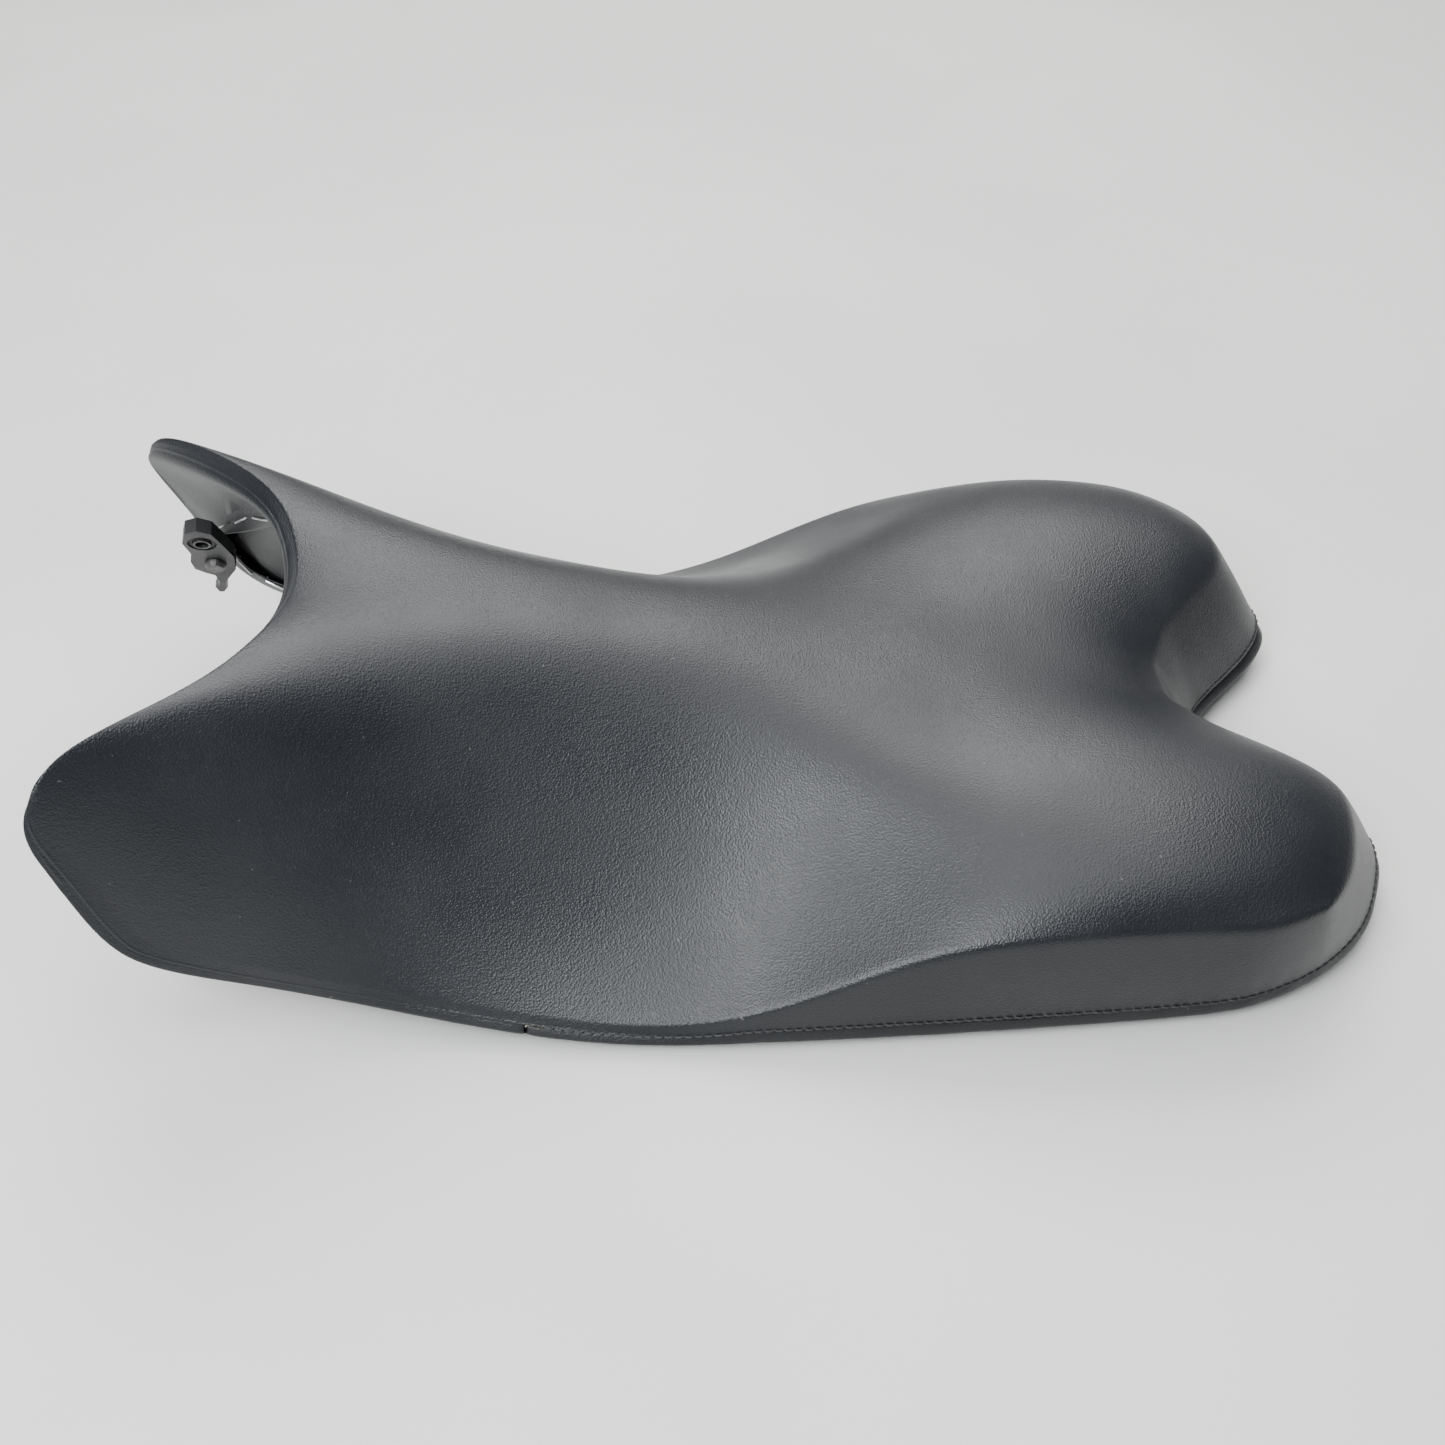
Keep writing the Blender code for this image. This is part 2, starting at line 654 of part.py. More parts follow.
def main():
    clear_scene()
    vinyl = material("vinyl", (0.022, 0.024, 0.027), 0.5)
    band_vinyl = material("band_vinyl", (0.018, 0.019, 0.022), 0.55)
    foam = material("foam", (0.35, 0.33, 0.28), 0.9)
    plastic = material("pan_plastic", (0.016, 0.016, 0.017), 0.45)
    rubber = material("rubber", (0.02, 0.02, 0.02), 0.8)
    steel = material("zinc_steel", (0.55, 0.55, 0.53), 0.35, 1.0)
    pan = Pan()
    build_cover(pan, vinyl, band_vinyl)
    build_foam(pan, foam)
    build_pan(pan, plastic)
    build_bumpers(rubber)
    build_ears(plastic, rubber, steel)
    build_tongue(steel)


main()
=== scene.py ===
"""Looks of the motorcycle seat: its sewn vinyl cover, foam, moulded pan, staples and stitches.

The outer shape comes from the same rails as the CAD solids, sampled more finely. Lengths in the
tables are millimetres: +X is the seat's left, -Y its front and Z = 0 the floor.
"""

import bmesh
import bpy
import numpy as np
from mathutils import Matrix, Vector, noise
from mathutils.bvhtree import BVHTree


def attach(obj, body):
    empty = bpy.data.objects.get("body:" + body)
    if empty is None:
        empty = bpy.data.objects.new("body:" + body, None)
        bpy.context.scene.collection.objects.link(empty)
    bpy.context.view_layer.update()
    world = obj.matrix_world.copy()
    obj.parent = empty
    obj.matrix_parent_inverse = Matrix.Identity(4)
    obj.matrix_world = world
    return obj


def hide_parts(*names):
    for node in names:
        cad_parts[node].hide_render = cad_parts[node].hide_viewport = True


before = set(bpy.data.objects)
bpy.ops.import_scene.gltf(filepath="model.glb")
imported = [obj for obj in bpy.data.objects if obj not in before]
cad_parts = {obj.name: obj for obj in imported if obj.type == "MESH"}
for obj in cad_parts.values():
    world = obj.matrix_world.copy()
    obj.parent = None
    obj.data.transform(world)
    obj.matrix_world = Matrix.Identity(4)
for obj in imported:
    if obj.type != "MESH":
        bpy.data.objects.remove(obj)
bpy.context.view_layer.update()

MM = 0.001
COVER = 1.2
GAP = 0.35
FOAM_GAP = 0.6
PAN = 3.0
RIM_INSET = 4.0
FOAM_INSET = 2.3

# The outer surface, half of it, as rails from front to rear. Each rail has one point for each
# station: the first lies on the front edge that wraps the tank, the last on the rear rim.
RAILS = (
    # centre line
    (
        (0, -160, 112), (0, -140, 113), (0, -100, 106), (0, -55, 95), (0, -10, 85),
        (0, 35, 75), (0, 80, 68), (0, 122, 60), (0, 146, 52), (0, 158, 45),
    ),
    # crown of the nose
    (
        (32, -166, 116), (28, -143, 114), (22, -101, 105), (20, -55, 93), (24, -10, 82),
        (32, 35, 73), (38, 80, 69), (40, 126, 65), (34, 155, 57), (33, 172, 50),
    ),
    # under the thighs
    (
        (64, -187, 118), (51, -155, 113), (40, -105, 98), (38, -56, 83), (45, -10, 71),
        (60, 35, 67), (76, 80, 68), (78, 130, 69), (66, 178, 61), (60, 199, 51),
    ),
    # ridge from the wing tip to the lobe
    (
        (93, -221, 114), (70, -168, 105), (61, -110, 80), (62, -58, 62), (71, -10, 52),
        (86, 35, 54), (103, 81, 61), (106, 133, 65), (93, 178, 61), (84, 202, 53),
    ),
    # middle of the flank
    (
        (103, -218, 82), (92, -171, 70), (88, -113, 51), (92, -60, 35), (100, -10, 31),
        (110, 36, 43), (119, 82, 55), (121, 136, 58), (112, 173, 57), (106, 195, 50),
    ),
    # rim: just above the hem in front, the crease of the side wall at the rear
    (
        (108, -207, 50), (107, -172, 31), (113, -114, 17), (122, -62, 11), (127, -12, 16),
        (127, 37, 37), (129, 82, 48), (130, 137, 49), (129, 163, 49), (122, 182, 49),
    ),
)
# The hem, the lowest outer line: along the front edge and down the wing, along the side, and
# round the rear lobe to the notch. It has one point for each rail or station of the rim.
HEM_FRONT = (
    (0, -167, 105), (32, -173, 108), (62, -194, 109),
    (97, -229, 104), (107, -225, 79), (111, -211, 45),
)
HEM_SIDE = (
    (109, -172, 23), (117, -114, 10), (126, -62, 4.5), (130, -12, 4), (131, 37, 4),
    (131, 82, 4), (130, 137, 4), (127, 165, 4.5), (119, 188, 6),
)
HEM_REAR = ((105, 209, 9), (86, 222, 12), (62, 228, 13), (35, 208, 10), (0, 180, 8))

# How far the pan lies under the outer surface: straight down at each station, the share of
# that on each rail, the drop on the rim itself, and how far it is drawn in from side and end
# (the end from the second station on).
FOAM_DROP = (9, 14, 18, 23, 27, 30, 30, 28, 26, 24)
DROP_SHARE = (1.0, 1.0, 0.95, 0.8, 0.55)
RIM_DROP = (2, 3, 3, 2, 4, 9, 11, 11, 11, 10)
PAN_SIDEWAYS = (0, 1, 3, 6, 7, 6)
PAN_ENDWAYS = (0, 0, 0, 0, 0, 0, -4, -7, -8)
# The pan stops short of the wing's tip: its front edge, one point for each rail.
PAN_FRONT = (
    (0, -155, 103), (33, -161, 107), (67, -180, 107),
    (80, -200, 98), (92, -205, 75), (102, -200, 48),
)
# The way into the seat from each point of the front hem, and how far in the pan's rim is.
INWARD_FRONT = (
    (0, 1, -0.4), (0.05, 1, -0.5), (0.5, 1, -0.4),
    (-0.7, 1.05, -0.35), (-0.9, 0.9, -0.2), (-0.8, 0.95, 0.3),
)
RIM_INSET_FRONT = (4, 4, 5, 19, 13, 6)
FOAM_INSET_FRONT = (2.3, 2.3, 2.8, 5, 4, 3)
# The foam's whole edge is also set back a little at the wing, to round its sharp tip.
FOAM_SETBACK_FRONT = (0, 0, 0.7, 1.5, 1.2, 1)

# How many points of the half hem follow those in front.
REST = len(HEM_SIDE) + len(HEM_REAR)

# Steps between two stations or rails, and places from the centre to the wing's lower corner.
STEPS = 8
FRONT_PLACES = 5 * STEPS
EASED_PLACES = 4 * STEPS
FOLD_GAP = 1.3
SEAM_HEIGHT = 6
BAND_START_STATION = 2.5

# The cover's wall from the rim to the seam, the band under it, and the fold under the pan, each
# as the shares of its height or length at which a loop of points runs.
WALL_SHARES = (0.03, 0.08, 0.16, 0.27, 0.4, 0.55, 0.7, 0.84, 0.955, 1.0)
BAND_SHARES = (0.15, 0.4, 0.7, 1.0)
FOLD_SHARES = (0.1, 0.25, 0.4, 0.55, 0.7, 0.85, 1.0)
SEAM = len(WALL_SHARES)
HEM_LEVEL = SEAM + len(BAND_SHARES)
FOLD_END = HEM_LEVEL + 1 + len(FOLD_SHARES)
# The fold's length at each point of the front, the next three of the side, and all the rest.
FOLD_FRONT = (28, 28, 20, 10, 8, 6)
FOLD_WING = (16, 15, 13)
FOLD_SIDE = 12
# Where the front of the fold ends, roughly: it is pulled taut and stapled to the pan there.
FLAP_END = ((0, -142, 100), (28, -150, 99), (50, -169, 92), (77, -188, 81), (95, -202, 74))
FLAP_CLEARANCE = 2.7

# The cover's wing tips reach forward by up to this much, from this far along.
TIP_REACH = 4
TIP_START, TIP_SPAN = -178, 50
# Inside them the pan is set back by this share of its distance past the line y.
CLEAR_START, CLEAR_SHARE = -172, 0.12
# The foam thins out in front by this share, and ends before the tips.
FOAM_THIN_START, FOAM_THIN_SPAN, FOAM_THIN_SHARE = -140, 35, 0.85
FOAM_FRONT = -182

STAPLE_SPACING, STAPLE_HALF, STAPLE_LEG, STAPLE_RADIUS = 15.5, 5.0, 1.6, 0.42
STAPLE_SWING = np.radians(9)
STITCH_SPACING, STITCH_HALF, THREAD_RADIUS = 3.4, 1.35, 0.36
BAR_SIDES = 6

SIDES = (("left", 1), ("right", -1))
POSTS = ((60, -62), (84, 28), (88, 118))
POST_BOTTOM, POST_RADIUS, POST_SIDES = 9, 10, 32
RIB_HALF, RIB_SUNK, RIB_POINTS = 1.2, 0.8, 25
LINING_ROWS = int(2.6 * STEPS)
LINING_GAP, LINING_BACK, LINING_FLAT = 0.1, 1.15, (0.105, 0.07)
FLOOR_HALF = 6


def use(node, **values):
    for key, value in values.items():
        node.inputs[key.replace("_", " ")].default_value = value
    return node


class Look:
    """A Principled material with helpers that add its pattern nodes."""

    def __init__(self, name, roughness, metallic=0.0):
        self.material = bpy.data.materials.new(name)
        self.material.use_nodes = True
        self.tree = self.material.node_tree
        self.shader = self.tree.nodes["Principled BSDF"]
        use(self.shader, Roughness=roughness, Metallic=metallic)
        self.place = self.tree.nodes.new("ShaderNodeTexCoord").outputs["Object"]
        self.bump = None

    def link(self, out, into):
        self.tree.links.new(out, into)

    def noise(self, scale, detail=3.0, roughness=0.5):
        node = self.tree.nodes.new("ShaderNodeTexNoise")
        self.link(self.place, node.inputs["Vector"])
        use(node, Scale=scale, Detail=detail, Roughness=roughness)
        return node.outputs["Fac"]

    def cells(self, scale):
        node = self.tree.nodes.new("ShaderNodeTexVoronoi")
        self.link(self.place, node.inputs["Vector"])
        use(node, Scale=scale)
        return node.outputs["Distance"]

    def spread(self, value, low, high, to_low, to_high):
        """Maps a pattern's low to high onto to_low to to_high, held at the ends."""
        node = self.tree.nodes.new("ShaderNodeMapRange")
        node.interpolation_type = "SMOOTHSTEP"
        self.link(value, node.inputs["Value"])
        use(node, From_Min=low, From_Max=high, To_Min=to_low, To_Max=to_high)
        return node.outputs["Result"]

    def blend(self, share, first, second):
        """Mixes two colours, each a tuple or another node's colour."""
        node = self.tree.nodes.new("ShaderNodeMix")
        node.data_type = "RGBA"
        self.link(share, node.inputs["Factor"])
        for socket, colour in ((node.inputs["A"], first), (node.inputs["B"], second)):
            if isinstance(colour, tuple):
                socket.default_value = (*colour, 1)
            else:
                self.link(colour, socket)
        return node.outputs["Result"]

    def colour(self, value):
        self.link(value, self.shader.inputs["Base Color"])

    def rough(self, value):
        self.link(value, self.shader.inputs["Roughness"])

    def relief(self, height, distance, strength):
        """Adds a bump on top of the ones that the material has already."""
        node = self.tree.nodes.new("ShaderNodeBump")
        use(node, Strength=strength, Distance=distance)
        self.link(height, node.inputs["Height"])
        if self.bump:
            self.link(self.bump, node.inputs["Normal"])
        self.bump = node.outputs["Normal"]
        self.link(self.bump, self.shader.inputs["Normal"])


def vinyl_look(name, dark, light, roughness):
    """Fine-grained seat vinyl: pebble cells, pores, faint wear and dust."""
    look = Look(name, roughness)
    use(look.shader, Specular_IOR_Level=0.4)
    cloud = look.spread(look.noise(14, 4), 0.35, 0.65, 0, 1)
    base = look.blend(cloud, dark, light)
    dust = look.spread(look.noise(420, 1), 0.78, 0.84, 0, 0.35)
    look.colour(look.blend(dust, base, (0.16, 0.155, 0.145)))
    look.rough(look.spread(look.noise(22, 5), 0.3, 0.7, roughness - 0.05, roughness + 0.06))
    look.relief(look.cells(1300), 0.0004, 0.3)
    look.relief(look.noise(2400, 2), 0.00025, 0.35)
    look.relief(look.noise(700, 2), 0.0002, 0.03)
    return look.material


def plastic_look(name, dark, light, roughness):
    """Moulded polypropylene with a fine spark-eroded texture and faint dust."""
    look = Look(name, roughness)
    cloud = look.spread(look.noise(30, 4), 0.35, 0.7, 0, 1)
    look.colour(look.blend(cloud, dark, light))
    look.rough(look.spread(look.noise(45, 4), 0.3, 0.7, roughness - 0.08, roughness + 0.1))
    look.relief(look.noise(1500, 2), 0.00025, 0.5)
    return look.material


def rubber_look():
    """Black rubber, dusty in places."""
    look = Look("bumper_rubber", 0.7)
    dust = look.spread(look.noise(90, 4), 0.45, 0.75, 0, 1)
    look.colour(look.blend(dust, (0.016, 0.016, 0.016), (0.045, 0.043, 0.04)))
    look.rough(look.spread(look.noise(60, 3), 0.3, 0.7, 0.62, 0.82))
    look.relief(look.noise(900, 3), 0.0002, 0.4)
    return look.material


def steel_look(name, dark, light, roughness):
    """Zinc-plated steel: pale patches and fine scratches."""
    look = Look(name, roughness, 1.0)
    patch = look.spread(look.noise(120, 5, 0.6), 0.35, 0.65, 0, 1)
    look.colour(look.blend(patch, dark, light))
    look.rough(look.spread(look.noise(300, 4), 0.3, 0.7, roughness - 0.08, roughness + 0.15))
    look.relief(look.noise(700, 4), 0.0001, 0.3)
    return look.material


def foam_look():
    """Cream polyurethane foam with open cells."""
    look = Look("seat_foam", 0.95)
    cloud = look.spread(look.noise(60, 4), 0.3, 0.7, 0, 1)
    look.colour(look.blend(cloud, (0.42, 0.38, 0.28), (0.55, 0.5, 0.38)))
    look.relief(look.cells(700), 0.0006, 0.8)
    return look.material


def thread_look():
    """Twisted black sewing thread."""
    look = Look("stitch_thread", 0.6)
    twist = look.spread(look.noise(2500, 2), 0.35, 0.65, 0, 1)
    look.colour(look.blend(twist, (0.01, 0.01, 0.011), (0.035, 0.035, 0.037)))
    look.relief(look.noise(3000, 2), 0.0001, 0.6)
    return look.material


def floor_look():
    """Pale, faintly stained paper on the floor."""
    look = Look("floor_paper", 0.62)
    stain = look.spread(look.noise(3.2, 5), 0.35, 0.7, 0, 1)
    look.colour(look.blend(stain, (0.57, 0.57, 0.557), (0.52, 0.523, 0.51)))
    look.relief(look.noise(60, 3), 0.0005, 0.15)
    return look.material


LOOKS = {
    "vinyl": vinyl_look("seat_vinyl", (0.008, 0.009, 0.0115), (0.011, 0.012, 0.0145), 0.37),
    "band": vinyl_look("band_vinyl", (0.007, 0.008, 0.0095), (0.010, 0.011, 0.013), 0.42),
    "plastic": plastic_look("pan_plastic", (0.011, 0.011, 0.012), (0.022, 0.022, 0.022), 0.48),
    "ear": plastic_look("ear_plastic", (0.014, 0.014, 0.015), (0.03, 0.03, 0.03), 0.42),
    "rubber": rubber_look(),
    "steel": steel_look("zinc_steel", (0.10, 0.10, 0.098), (0.17, 0.17, 0.165), 0.45),
    "staple": steel_look("staple_wire", (0.5, 0.5, 0.49), (0.66, 0.66, 0.64), 0.38),
    "foam": foam_look(),
    "thread": thread_look(),
}


def spline(points, steps):
    """Points of a natural cubic spline through points, with that many steps in each span."""
    knots = np.asarray(points, float)
    count = len(knots)
    matrix = np.eye(count)
    bends = np.zeros_like(knots)
    for k in range(1, count - 1):
        matrix[k, k - 1 : k + 2] = (1, 4, 1)
        bends[k] = 6 * (knots[k - 1] - 2 * knots[k] + knots[k + 1])
    bends = np.linalg.solve(matrix, bends.reshape(count, -1)).reshape(knots.shape)
    found = []
    for k in range(count - 1):
        for step in range(steps):
            b = step / steps
            a = 1 - b
            curve = (a**3 - a) * bends[k] + (b**3 - b) * bends[k + 1]
            found.append(a * knots[k] + b * knots[k + 1] + curve / 6)
    found.append(knots[-1])
    return np.array(found)


def mirrored(half):
    """A row that starts on the centre plane, with its mirror image put before it."""
    half = np.asarray(half, float)
    return np.concatenate([half[:0:-1] * (-1, 1, 1), half])


def loft(rails):
    """Grid of points, rows from front to rear and columns from the right to the left."""
    along = np.stack([spline(rail, STEPS) for rail in rails], 1)
    return np.array([spline(mirrored(row), STEPS) for row in along])


def round_loop(front, side, rear):
    """Closed loop of points round the rim, from the front's centre by way of the left side."""
    half = [*front, *side, *rear]
    whole = np.array(half + [(-x, y, z) for x, y, z in half[-2:0:-1]], float)
    lap = 4
    ends = spline(np.concatenate([whole[-lap:], whole, whole[: lap + 1]]), STEPS)
    return ends[lap * STEPS : (lap + len(whole)) * STEPS]


def rim_cells(rows, columns):
    """Row and column of each grid point on the rim, in the loop's order, and its inward step."""
    last, middle, end = rows - 1, columns // 2, columns - 1
    cells = [(0, j, 1, 0) for j in range(middle, end)]
    cells.append((0, end, 1, -1))
    cells += [(i, end, 0, -1) for i in range(1, last)]
    cells.append((last, end, -1, -1))
    cells += [(last, j, -1, 0) for j in range(end - 1, 0, -1)]
    cells.append((last, 0, -1, 1))
    cells += [(i, 0, 0, 1) for i in range(last - 1, 0, -1)]
    cells.append((0, 0, 1, 1))
    cells += [(0, j, 1, 0) for j in range(1, middle)]
    return cells


OUTER = loft(RAILS)
ROWS, COLUMNS = OUTER.shape[:2]
CELLS = rim_cells(ROWS, COLUMNS)
LOOP = len(CELLS)
HEM = round_loop(HEM_FRONT, HEM_SIDE, HEM_REAR)
GRID = ROWS * COLUMNS


def on_rim(grid):
    return np.array([grid[i, j] for i, j, _, _ in CELLS])


def walls(rim, hem):
    """Loops down the wall from the rim to the seam, and on to the hem."""
    down = hem - rim
    height = np.linalg.norm(HEM - on_rim(OUTER), axis=1, keepdims=True)
    seam = 1 - np.minimum(SEAM_HEIGHT, 0.45 * height) / height
    upper = [rim + share * seam * down for share in WALL_SHARES]
    return upper + [rim + (seam + share * (1 - seam)) * down for share in BAND_SHARES]


def stacked(grid, loops):
    return np.concatenate([grid.reshape(-1, 3), *loops])


def loop_index(level, place):
    """Index of a sheet's point: level 0 is the grid's own rim, level 1 the first loop."""
    place %= LOOP
    if level == 0:
        i, j = CELLS[place][:2]
        return i * COLUMNS + j
    return GRID + (level - 1) * LOOP + place


def loop_points(points, level):
    return points[[loop_index(level, place) for place in range(LOOP)]]


def grid_quads(rows=range(ROWS - 1), columns=range(COLUMNS - 1)):
    quads = []
    for i in rows:
        for j in columns:
            corner = i * COLUMNS + j
            quads.append((corner, corner + 1, corner + COLUMNS + 1, corner + COLUMNS))
    return quads


def strip_quads(first, last, places):
    """Quads between the loops of levels first to last, at these places round the rim."""
    quads = []
    for level in range(first, last):
        for place in places:
            quads.append((
                loop_index(level, place),
                loop_index(level + 1, place),
                loop_index(level + 1, place + 1),
                loop_index(level, place + 1),
            ))
    return quads


def normals(points, quads):
    """Unit normal of each point, averaged over the quads round it. Unused points get zero."""
    corners = np.array(quads)
    a, b, c, d = (points[corners[:, k]] for k in range(4))
    face = np.cross(c - a, d - b)
    total = np.zeros_like(points)
    for k in range(4):
        np.add.at(total, corners[:, k], face)
    length = np.linalg.norm(total, axis=1, keepdims=True)
    return total / np.where(length > 0, length, 1)


def relaxed(points, quads, weight, rounds):
    """The points drawn towards their neighbours' mean, each by its weight, again and again."""
    corners = np.array(quads)
    ends = np.concatenate([corners[:, [k, (k + 1) % 4]] for k in range(4)])
    ends = np.unique(np.sort(ends, axis=1), axis=0)
    count = np.zeros(len(points))
    np.add.at(count, ends.ravel(), 1)
    count = np.where(count > 0, count, 1)[:, None]
    weight = weight[:, None]
    for _ in range(rounds):
        total = np.zeros_like(points)
        np.add.at(total, ends[:, 0], points[ends[:, 1]])
        np.add.at(total, ends[:, 1], points[ends[:, 0]])
        points = points + weight * (total / count - points)
    return points


def horizontal_inward(loop):
    """Unit vectors in plan, square to the loop and pointing into it."""
    tangent = np.roll(loop, -1, axis=0) - np.roll(loop, 1, axis=0)
    inward = np.stack([-tangent[:, 1], tangent[:, 0], np.zeros(len(loop))], 1)
    return inward / np.linalg.norm(inward, axis=1, keepdims=True)


def pan_grid():
    """The pan's upper face: the outer surface, lowered by the foam and drawn in at the sides."""
    drops = [np.multiply(share, FOAM_DROP) for share in DROP_SHARE] + [RIM_DROP]
    rails = []
    for rail, rail_drops, sideways, front in zip(RAILS, drops, PAN_SIDEWAYS, PAN_FRONT):
        points = [front]
        for (x, y, z), drop, endways in zip(rail[1:], rail_drops[1:], PAN_ENDWAYS):
            points.append((x - sideways, y + endways, z - drop))
        rails.append(points)
    return loft(rails)


def round_values(half):
    """Values given for the front, side and rear points of one half, for each place of the loop."""
    half = np.array(half, float).reshape(len(half), -1)
    mirror = np.ones(half.shape[1])
    if half.shape[1] == 3:
        mirror[0] = -1
    whole = np.concatenate([half, half[-2:0:-1] * mirror, half[:1]])
    places = np.arange(LOOP) / STEPS
    knots = np.arange(len(whole))
    return np.stack([np.interp(places, knots, column) for column in whole.T], 1)


def inside_hem(distance):
    """The hem loop moved into the seat: inwards and up, except along the front edge."""
    sideways = horizontal_inward(HEM) + (0, 0, 1)
    in_front = round_values([1] * len(HEM_FRONT) + [0] * REST)
    front_way = round_values([*INWARD_FRONT, *[(0, 0, 0)] * REST])
    way = np.where(in_front > 0, front_way + (1 - in_front) * sideways, sideways)
    step = way * distance
    step[:, 2] = np.minimum(step[:, 2], COVER + 2 * GAP)
    return HEM + step


def insets(front, rest):
    """Distances in from the hem: the front's own ones, and one for all the rest."""
    return round_values([*front, *[rest] * REST])


def walk(line, distance):
    """Weights that give the point this far along a line of points."""
    steps = np.linalg.norm(np.diff(line, axis=0), axis=1)
    covered = np.concatenate([[0], np.cumsum(steps)])
    weights = np.zeros(len(line))
    span = min(max(np.searchsorted(covered, distance), 1), len(line) - 1)
    share = min((distance - covered[span - 1]) / steps[span - 1], 1)
    weights[span - 1] = 1 - share
    weights[span] = share
    return weights


class Pan:
    """The pan's two faces as sheets, and the line round its rim that the cover folds over."""

    def __init__(self):
        grid = pan_grid()
        rim = on_rim(grid)
        self.quads = grid_quads() + strip_quads(0, HEM_LEVEL, range(LOOP))
        self.upper = stacked(grid, walls(rim, inside_hem(insets(RIM_INSET_FRONT, RIM_INSET))))
        self.normal = normals(self.upper, self.quads)
        self.lower = self.upper - PAN * self.normal
        self.tree = BVHTree.FromPolygons([tuple(p) for p in self.lower], self.quads)

    def under(self, x, y):
        """Height of the pan's lower face above this point of the floor, or nothing."""
        hit = self.tree.ray_cast(Vector((x, y, -50)), Vector((0, 0, 1)))[0]
        return hit.z if hit else None

    def fold_lines(self, clearance):
        """Loops of the cover's fold: round the rim's bottom edge, then up the pan's lower face."""
        face = self.lower - clearance * normals(self.lower, self.quads)
        rim = []
        fold = [[] for _ in FOLD_SHARES]
        lengths = round_values(
            [*FOLD_FRONT, *FOLD_WING, *[FOLD_SIDE] * (REST - len(FOLD_WING))]
        )[:, 0]
        for place, length in enumerate(lengths):
            i, j, down, across = CELLS[place]
            line = [loop_index(level, place) for level in range(HEM_LEVEL, -1, -1)]
            line += [(i + n * down) * COLUMNS + j + n * across for n in range(1, 2 * STEPS)]
            edge = face[line[0]] - face[line[1]]
            rim.append(face[line[0]] + clearance * edge / np.linalg.norm(edge))
            for loop, share in zip(fold, FOLD_SHARES):
                loop.append(walk(face[line], share * length) @ face[line])
        return [np.array(loop) for loop in (rim, *fold)]


def taut_front(pan, loops):
    """Draws the fold's loops in front taut, from the hem to the line where it is stapled."""
    ends = spline(mirrored([*FLAP_END, FLAP_END[-1]]), STEPS)
    middle = len(ends) // 2
    taut = [loop.copy() for loop in loops]
    for place in range(-FRONT_PLACES + 1, FRONT_PLACES):
        spot, _, index, _ = pan.tree.find_nearest(Vector(ends[middle + place]))
        end = np.array(spot) - FLAP_CLEARANCE * pan.normal[pan.quads[index][0]]
        share = float(np.clip((FRONT_PLACES - abs(place)) / STEPS, 0, 1))
        share = share * share * (3 - 2 * share)
        for loop, along in zip(taut, (0.06, *FOLD_SHARES)):
            straight = (1 - along) * HEM[place] + along * end
            loop[place] = (1 - share) * loop[place] + share * straight
    return taut


def mesh_object(name, points, faces, look):
    used = sorted({corner for face in faces for corner in face})
    place = {corner: k for k, corner in enumerate(used)}
    mesh = bpy.data.meshes.new(name)
    mesh.from_pydata(
        [tuple(points[k] * MM) for k in used], [], [[place[c] for c in face] for face in faces]
    )
    mesh.shade_smooth()
    return placed(name, mesh, look)


def placed(name, mesh, look):
    obj = bpy.data.objects.new(name, mesh)
    bpy.context.scene.collection.objects.link(obj)
    mesh.materials.append(LOOKS[look])
    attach(obj, "root")
    return obj


def thicken(obj, thickness):
    """Gives a sheet its thickness on the inner side, and rounds it by subdivision."""
    solid = obj.modifiers.new("thickness", "SOLIDIFY")
    solid.thickness = thickness * MM
    solid.offset = -1
    smooth = obj.modifiers.new("smooth", "SUBSURF")
    smooth.levels = 1
    smooth.render_levels = 1
    return obj


def closed_shell(name, top, bottom, quads, look):
    """A closed solid between two sheets that share quads, joined along their open borders."""
    sides = {(q[k], q[(k + 1) % 4]) for q in quads for k in range(4)}
    borders = sorted((a, b) for a, b in sides if (b, a) not in sides)
    count = len(top)
    faces = list(quads)
    faces += [tuple(corner + count for corner in reversed(q)) for q in quads]
    faces += [(b, a, a + count, b + count) for a, b in borders]
    return mesh_object(name, np.concatenate([top, bottom]), faces, look)


def arc_lengths(loop):
    """Distance along a closed loop to each of its points, and back to the first."""
    steps = np.linalg.norm(np.roll(loop, -1, axis=0) - loop, axis=1)
    return np.concatenate([[0], np.cumsum(steps)])


def spaced_frames(loop, facing, spacing, first, last):
    """(point, tangent, normal) at even spacings along the loop from place first to last."""
    lengths = arc_lengths(loop)
    around = np.concatenate([loop, loop[:1]])
    outward = np.concatenate([facing, facing[:1]])
    start, end = np.interp([first, last], np.arange(LOOP + 1), lengths)
    count = max(int(round((end - start) / spacing)), 1)
    found = []
    for k in range(count):
        at = start + (end - start) * (k + 0.5) / count
        ends = [np.interp(at + half, lengths, column) for half in (-0.8, 0.8) for column in around.T]
        low, high = np.array(ends[:3]), np.array(ends[3:])
        normal = np.array([np.interp(at, lengths, column) for column in outward.T])
        tangent = (high - low) / np.linalg.norm(high - low)
        normal -= tangent * (normal @ tangent)
        found.append(((low + high) / 2, tangent, normal / np.linalg.norm(normal)))
    return found


def bridged(work, rings):
    """Joins rings of a bmesh's vertices into a bar, closed at both ends."""
    for low, high in zip(rings, rings[1:]):
        for k in range(len(low)):
            after = (k + 1) % len(low)
            work.faces.new((low[k], low[after], high[after], high[k]))
    work.faces.new(rings[0][::-1])
    work.faces.new(rings[-1])


